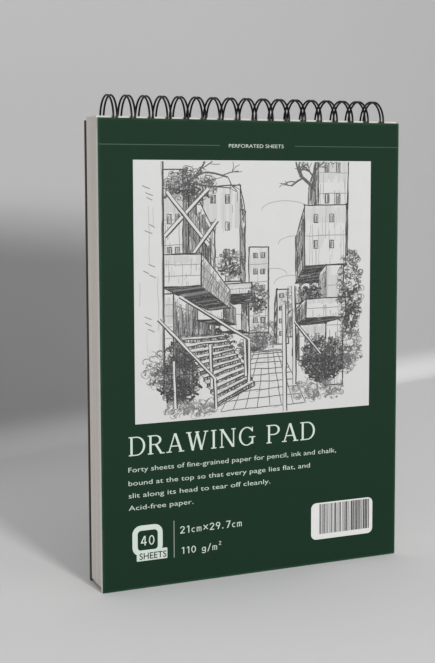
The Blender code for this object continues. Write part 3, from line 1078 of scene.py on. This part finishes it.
def sketch_lane(pen):
    """The whole picture, far things first: blocks, boughs, foliage, steps, paving and posts."""
    lane = Lane(pen)
    clouds = ((104, 134, 17, 6), (112, 112, 13, 5), (96, 92, 9, 4), (108, 86, 12, 5))
    for x, y, reach, rise in clouds:
        for turn in np.linspace(0, math.pi, 5)[:-1]:
            sweep = np.linspace(turn, turn + 0.9, 8)
            pen.fine(np.stack((x + reach * np.cos(sweep), y + rise * np.sin(sweep)), 1), 0.7, 0.5)
    lane.block(78, 92, 54, 110, 0.2, 0.6, 5, 4, 0.5)
    lane.block(98, 106, 46, 82, 0.3, 0.9, 4)
    pen.leaves(110, 74, 10, 9, 110, 1.5, 0.6, 0.7)
    lane.block(112, 127, 50, 72, 0.3, 0.8, 1, 2, 0.6)
    pen.leaves(88, 52, 12, 9, 170, 1.5, 0.8, 0.7)
    lane.block(46, 72, 58, 150, 0.17, 0.85, 5, 1, 0.5)
    pen.leaves(66, 100, 9, 9, 130, 1.6, 0.9, 0.8)
    lane.block(57, 73, 56, 88, 0.25, 0.9, 1, 2, 0.5)
    lane.block(60, 80, 80, 87, 0.2, 1.0, 0, 1, 0.6)
    pen.leaves(84, 76, 8, 10, 110, 1.5, 0.9, 0.8)
    lane.block(128, 150, 104, 172, 0.2, 0.95, 3, 4, 0.6)
    pen.branch((126, 146), 2.3, 16, 3.2, 3)
    pen.branch((124, 148), 1.5, 18, 3.0, 3)
    lane.block(118, 149, 97, 137, 0.24, 1.0, 2, 1, 0.4)
    lane.block(134, 147, 16, 97, 0.12, 1.0, 0, 5, 0.7)
    pen.leaves(122, 80, 8, 12, 150, 1.6, 1.0, 0.8, 0.5)
    lane.block(119, 149, 62, 75, 0.26, 1.0, 0, 1, 0.6)
    lane.block(114, 134, 34, 58, 0.2, 1.0, 1, 2, 0.9)
    lane.block(19, 33, 50, 160, 0.36, 1.0, 5, 6, 0.9)
    pen.leaves(38, 150, 17, 11, 220, 1.9, 0.9, 0.8)
    pen.branch((20, 142), 0.75, 30, 3.0, 3)
    for start, end in (((20, 118), (50, 148)), ((22, 146), (50, 112)), ((34, 100), (56, 128))):
        lane.bar(start, end, 2.4)
    lane.block(42, 60, 64, 78, 0.26, 0.95, 0, 1, 0.6)
    lane.block(19, 45, 86, 107, 0.42, 0.7, 0, 2, 0.5)
    lane.block(19, 26, 18, 82, 0.2, 1.0, 0, 8, 0.9)
    wall = [(0, 0), (19.5, 24), (19.5, 168), (0, 168)]
    pen.hide(wall)
    pen.stroke(((19.5, 22), (19.5, 167)), 2.0, 1.0, 0.4)
    pen.stroke(((18.6, 40), (18.6, 167)), 0.9, 0.6)
    pen.hatch([(2, 40), (18, 40), (18, 166), (2, 166)], 90, 2.2, 0.6, 0.35, (0.05, 0.35), 0.2)
    for y in (58, 62, 66, 92, 95, 99, 120, 124, 141, 144, 148):
        x = 3 + 9 * pen.rng.random()
        pen.stroke(((x, y + 2.0), (x + 3.5 + 2 * pen.rng.random(), y)), 0.9, 0.7)
    for clump in ((54, 44, 14, 13, 300, 1.7, 1.0, 0.9, 0.6), (36, 44, 14, 12, 260, 1.7, 1.0, 0.9, 0.6),
                  (80, 44, 10, 8, 170, 1.5, 0.9, 0.8, 0.5)):
        pen.leaves(*clump)
    lane.paving(((58, 4), (119, 6)), ((79, 42), (101, 42)), 8, 11)
    lane.steps(11, ((30, 54), (56, 8)), ((60, 54), (82, 20)), 1.9)
    bushes = (
        (30, 26, 13, 15, 330, 1.9, 1.0, 0.9, 0.7), (16, 34, 10, 12, 90, 1.9, 0.8, 0.8),
        (132, 34, 16, 15, 420, 1.8, 1.0, 0.9, 0.7), (152, 78, 9, 30, 260, 1.9, 0.9, 0.8, 0.5),
        (150, 40, 11, 16, 170, 1.9, 0.8, 0.8), (128, 14, 20, 8, 130, 1.9, 0.7, 0.8),
        (38, 8, 18, 6, 120, 1.9, 0.7, 0.8),
    )
    for bush in bushes:
        pen.leaves(*bush)
    for foot in ((27, 8), (52, 20), (76, 26)):
        lane.bar(foot, (foot[0] - 1, foot[1] + 34 - foot[0] * 0.12), 2.0)
    rails = (
        ((16, 66), (54, 26), 1.9), ((54, 26), (55, 6), 1.9), ((30, 80), (78, 50), 1.9),
        ((78, 50), (78, 22), 1.9), ((104, 0), (103, 72), 2.6), ((111, 18), (110, 84), 2.2),
        ((111, 60), (130, 38), 1.6),
    )
    for rail in rails:
        lane.bar(*rail)


class PAD_OT_picture(bpy.types.Operator):
    """Draw the pen picture of a lane between plain blocks, stroke by stroke"""

    bl_idname = "pad.picture"
    bl_label = "Draw the picture"

    def execute(self, context):
        choice = settings().picture
        width = PICTURE_EDGES[2] - PICTURE_EDGES[0]
        height = PICTURE_EDGES[3] - PICTURE_EDGES[1]
        pen = Drawing(width, height, choice.seed, choice.weight / MM, choice.wobble / MM)
        sketch_lane(pen)
        material = pen_finish("pen_ink", choice.ink, settings().cover.panel)
        strokes = list(pen.runs())
        share = len(strokes) // 3 + 1
        for i, part in enumerate(("far", "middle", "near")):
            ink_piece(f"picture_{part}", strokes[i * share : (i + 1) * share], material)
        return {"FINISHED"}


# ---------------------------------------------------------------- sheets and back


class PAD_OT_sheets(bpy.types.Operator):
    """Finish the forty sheets, with their tear line"""

    bl_idname = "pad.sheets"
    bl_label = "Finish the sheets"

    def execute(self, context):
        paper = settings().paper
        first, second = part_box("sheet_01"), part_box("sheet_02")
        pitch = second[0].y - first[0].y
        material = paper_finish(
            "drawing_paper", paper.sheet, pitch, first[1].x,
            first[1].z - paper.slit_drop, paper.slit_pitch,
        )
        for node in frame["nodes"]:
            if node.startswith("sheet_"):
                dress(node, material)
        return {"FINISHED"}


class PAD_OT_back(bpy.types.Operator):
    """Finish the brown back board"""

    bl_idname = "pad.back"
    bl_label = "Finish the back cover"

    def execute(self, context):
        dress("back_cover_board", board_finish("brown_board", settings().paper.back, 0.5))
        return {"FINISHED"}


# ---------------------------------------------------------------- wire

CHORD_DROP = 0.0054  # from the turning axis down to the straight run under the holes
TIP_DROP = 0.0084  # from the turning axis down to the hairpin tips
CHORD_END = 0.0040  # Y at which the straight run bends down to its tip
CORNER_CUT = 0.0016  # how far the round corner starts before the sharp one
SEAM_BEND = 0.0009  # reach of the bend from a leg into the run to the next loop


def leg_route(radius, twin, seam, root_drop, step=7.0):
    """One leg of a loop in Y and height above the axis, in metres.

    From the seam it follows the ring's circle over the back, the top and the front; then one round
    corner, a quadratic curve, leads to the straight run under the sheets' holes, which ends in the seam.
    """
    first = -math.atan2(root_drop, seam) + SEAM_BEND / radius
    last = math.pi + math.asin(CHORD_DROP / radius) - CORNER_CUT / radius
    turn = np.linspace(first, last, int(math.degrees(last - first) / step))
    arc = np.stack((radius * np.cos(turn), radius * np.sin(turn)), 1)
    corner = np.array((-math.sqrt(radius**2 - CHORD_DROP**2), -CHORD_DROP))
    start, end = arc[-1], corner + (CORNER_CUT, 0.0)
    t = np.linspace(0, 1, 7)[1:, None]
    bent = start * (1 - t) ** 2 + corner * (2 * t * (1 - t)) + end * t**2
    soft = np.linspace(0, 1, 5)[1:, None]
    low = np.array((CHORD_END, -CHORD_DROP))
    foot = np.array((seam - twin / 2, -TIP_DROP))
    before, after = low - (0.001, 0.0), low + (foot - low) * 0.25
    knee = before * (1 - soft) ** 2 + low * (2 * soft * (1 - soft)) + after * soft**2
    return np.concatenate((arc, bent, before[None], knee, foot[None]))


def wire_route(wire, seam, root_drop):
    """The whole wire: each loop out, round its hairpin tip and back, then across to the next loop."""
    leg = leg_route(wire.ring_radius, wire.twin, seam, root_drop)
    middles = (np.arange(wire.loops) - (wire.loops - 1) / 2) * wire.pitch
    half = wire.twin / 2
    turn = np.radians(np.linspace(0, 180, 9)[1:-1])
    route = []
    for i, middle in enumerate(middles):
        if i:
            route.append(np.array([(middle - half - SEAM_BEND, seam, -root_drop)]))
        route.append(np.insert(leg, 0, middle - half, 1))
        foot = np.full(len(turn), -TIP_DROP)
        hairpin = (middle - half * np.cos(turn), seam - half + half * np.sin(turn), foot)
        route.append(np.stack(hairpin, 1))
        route.append(np.insert(leg[::-1], 0, middle + half, 1))
        if i < wire.loops - 1:
            route.append(np.array([(middle + half + SEAM_BEND, seam, -root_drop)]))
    return np.concatenate(route)


def round_bar(route, radius, sides=10):
    """A round tube along a route, with closed ends.

    A frame is carried along the route without twist; ring i is route[i] + radius (cos a n + sin a b).
    """
    way = np.gradient(route, axis=0)
    way /= np.linalg.norm(way, axis=1, keepdims=True)
    normals = np.zeros_like(route)
    normal = np.cross(way[0], (1.0, 0.0, 0.0))
    for i, along in enumerate(way):
        normal = normal - along * normal.dot(along)
        normal = normal / np.linalg.norm(normal)
        normals[i] = normal
    binormals = np.cross(way, normals)
    angle = np.linspace(0, 2 * math.pi, sides, endpoint=False)[None, :, None]
    round_way = np.cos(angle) * normals[:, None] + np.sin(angle) * binormals[:, None]
    rings = route[:, None] + radius * round_way
    count = len(route)
    grid = np.arange(count * sides).reshape(count, sides)
    a, b = grid[:-1], grid[1:]
    quads = np.stack((a, np.roll(a, -1, 1), np.roll(b, -1, 1), b), -1).reshape(-1, 4).tolist()
    quads += [list(grid[0][::-1]), list(grid[-1])]
    return rings.reshape(-1, 3), quads


class PAD_OT_wire(bpy.types.Operator):
    """Wind the smooth enamelled wire in the place of the CAD one"""

    bl_idname = "pad.wire"
    bl_label = "Wind the wire"

    def execute(self, context):
        wire = settings().wire
        seam = (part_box("sheet_40")[1].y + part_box("back_cover_board")[0].y) / 2
        root_drop = math.sqrt(wire.ring_radius**2 - seam**2)
        route = wire_route(wire, seam, root_drop) + (0.0, 0.0, TURNING_AXIS_HEIGHT)
        points, faces = round_bar(route, wire.gauge / 2)
        piece = add_piece(
            "wire_loops", points, faces, "block",
            enamel_finish("black_enamel", wire.black), True,
        )
        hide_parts("wire_binding")
        return {"FINISHED"}


# ---------------------------------------------------------------- stage

WALL_FOOT = np.array((-0.080, 0.412))  # X and Y of a place on the wall's foot
WALL_WAY = np.array((0.927, 0.374))  # the way that the wall runs, in X and Y
WALL_REACH = 4.5  # how far the backdrop runs to either side of that place
COVE = 0.03  # radius of the round between floor and wall
KEY_PLACE, KEY_TARGET, KEY_SIZE = (0.3, -2.6, 0.85), (0.0, 0.1, 0.15), 0.35
KEY_WATTS = 20  # power of the key light at strength 1


def see_through_from_behind(finish):
    """Lets a camera that stands behind the backdrop see past it."""
    seen = finish.node("ShaderNodeNewGeometry", {}, {}, "Backfacing")
    clear = finish.node("ShaderNodeBsdfTransparent", {}, {})
    paper = Tone(finish, finish.shader.outputs["BSDF"])
    mixed = finish.node("ShaderNodeMixShader", {}, {"Fac": seen, 1: paper, 2: clear})
    finish.tree.links.new(mixed.socket, finish.tree.nodes["Material Output"].inputs["Surface"])


class PAD_OT_stage(bpy.types.Operator):
    """Set the backdrop, the lights and the camera"""

    bl_idname = "pad.stage"
    bl_label = "Set the stage"

    def execute(self, context):
        choice = settings().stage
        scene = context.scene
        back = np.array((-WALL_WAY[1], WALL_WAY[0]))
        turn = np.linspace(0, math.pi / 2, 13)
        cove = [(-COVE + COVE * math.sin(t), COVE - COVE * math.cos(t)) for t in turn]
        profile = [(-7.0, 0.0), (-2.0, 0.0), (-1.0, 0.0), (-0.3, 0.0), *cove, (0.0, 0.5), (0.0, 2.6)]
        grid = [
            (*(WALL_FOOT + WALL_WAY * reach + back * d), h)
            for d, h in profile for reach in (-WALL_REACH, WALL_REACH)
        ]
        faces = [[2 * i, 2 * i + 1, 2 * i + 3, 2 * i + 2] for i in range(len(profile) - 1)]
        mesh = bpy.data.meshes.new("backdrop")
        mesh.from_pydata(grid, [], faces)
        mesh.polygons.foreach_set("use_smooth", [True] * len(faces))
        backdrop = bpy.data.objects.new("backdrop", mesh)
        scene.collection.objects.link(backdrop)
        finish = Finish("backdrop_paper", roughness=0.9)
        _, _, up = finish.axes()
        cloud = finish.noise(3, 3, 0.5)
        # Painted shade: the upright wall of the backdrop gets a darker colour than the floor.
        shade = finish.blend(up.below(0.02, 0.02), choice.wall, choice.paper)
        finish.feed("Base Color", finish.blend(cloud * 0.05, shade, tinted(choice.paper, 0.8)))
        see_through_from_behind(finish)
        mesh.materials.append(finish.material)

        add_light("key_light", KEY_PLACE, KEY_TARGET, choice.key * KEY_WATTS, KEY_SIZE)
        world = bpy.data.worlds.new("room")
        world.use_nodes = True
        sky = world.node_tree.nodes["Background"]
        sky.inputs["Color"].default_value = (1.0, 1.0, 1.0, 1.0)
        sky.inputs["Strength"].default_value = choice.ambient
        scene.world = world
        scene.view_settings.view_transform = "Standard"

        cos, sin = math.cos, math.sin
        ahead = Vector((
            sin(choice.yaw) * cos(choice.pitch), cos(choice.yaw) * cos(choice.pitch), -sin(choice.pitch)
        ))
        right = Vector((cos(choice.yaw), -sin(choice.yaw), 0.0))
        above = right.cross(ahead)
        lens = bpy.data.cameras.new("camera")
        lens.lens = choice.lens
        lens.sensor_width = 36.0
        lens.shift_x, lens.shift_y = choice.shift
        lens.clip_start, lens.clip_end = 0.01, 50.0
        camera = bpy.data.objects.new("camera", lens)
        turned = Matrix((right, above, -ahead)).transposed().to_4x4()
        camera.matrix_world = Matrix.Translation(choice.camera_place) @ turned
        scene.collection.objects.link(camera)
        scene.camera = camera
        return {"FINISHED"}


def add_light(name, place, target, power, size):
    """A square soft light at place, aimed at target."""
    light = bpy.data.lights.new(name, "AREA")
    light.energy = power
    light.size = size
    made = bpy.data.objects.new(name, light)
    made.location = place
    made.rotation_euler = (Vector(target) - Vector(place)).to_track_quat("-Z", "Y").to_euler()
    bpy.context.scene.collection.objects.link(made)


# ---------------------------------------------------------------- add-on


STEPS = (PAD_OT_boards, PAD_OT_print, PAD_OT_picture, PAD_OT_sheets, PAD_OT_back, PAD_OT_wire, PAD_OT_stage)


class PAD_PT_sidebar(bpy.types.Panel):
    """The pad's steps in the sidebar"""

    bl_idname = "PAD_PT_sidebar"
    bl_label = "Drawing pad"
    bl_space_type = "VIEW_3D"
    bl_region_type = "UI"
    bl_category = "Drawing pad"

    def draw(self, context):
        for step in STEPS:
            self.layout.operator(step.bl_idname)
        for group in ("cover", "picture", "paper", "wire", "stage"):
            owner = getattr(context.scene.drawing_pad, group)
            box = self.layout.box()
            box.label(text=group.title())
            for name in owner.__annotations__:
                box.prop(owner, name)


CLASSES = (
    CoverSettings, PictureSettings, PaperSettings, WireSettings, StageSettings, PadSettings,
    *STEPS, PAD_PT_sidebar,
)


def register():
    """Registers the settings, the steps and the panel."""
    for each in CLASSES:
        bpy.utils.register_class(each)
    bpy.types.Scene.drawing_pad = PointerProperty(type=PadSettings)


def unregister():
    """Takes them away again."""
    del bpy.types.Scene.drawing_pad
    for each in reversed(CLASSES):
        bpy.utils.unregister_class(each)


def main():
    """Runs every step in order."""
    register()
    bpy.ops.pad.boards()
    bpy.ops.pad.print()
    bpy.ops.pad.picture()
    bpy.ops.pad.sheets()
    bpy.ops.pad.back()
    bpy.ops.pad.wire()
    bpy.ops.pad.stage()
    bpy.context.view_layer.update()


if __name__ == "__main__":
    main()
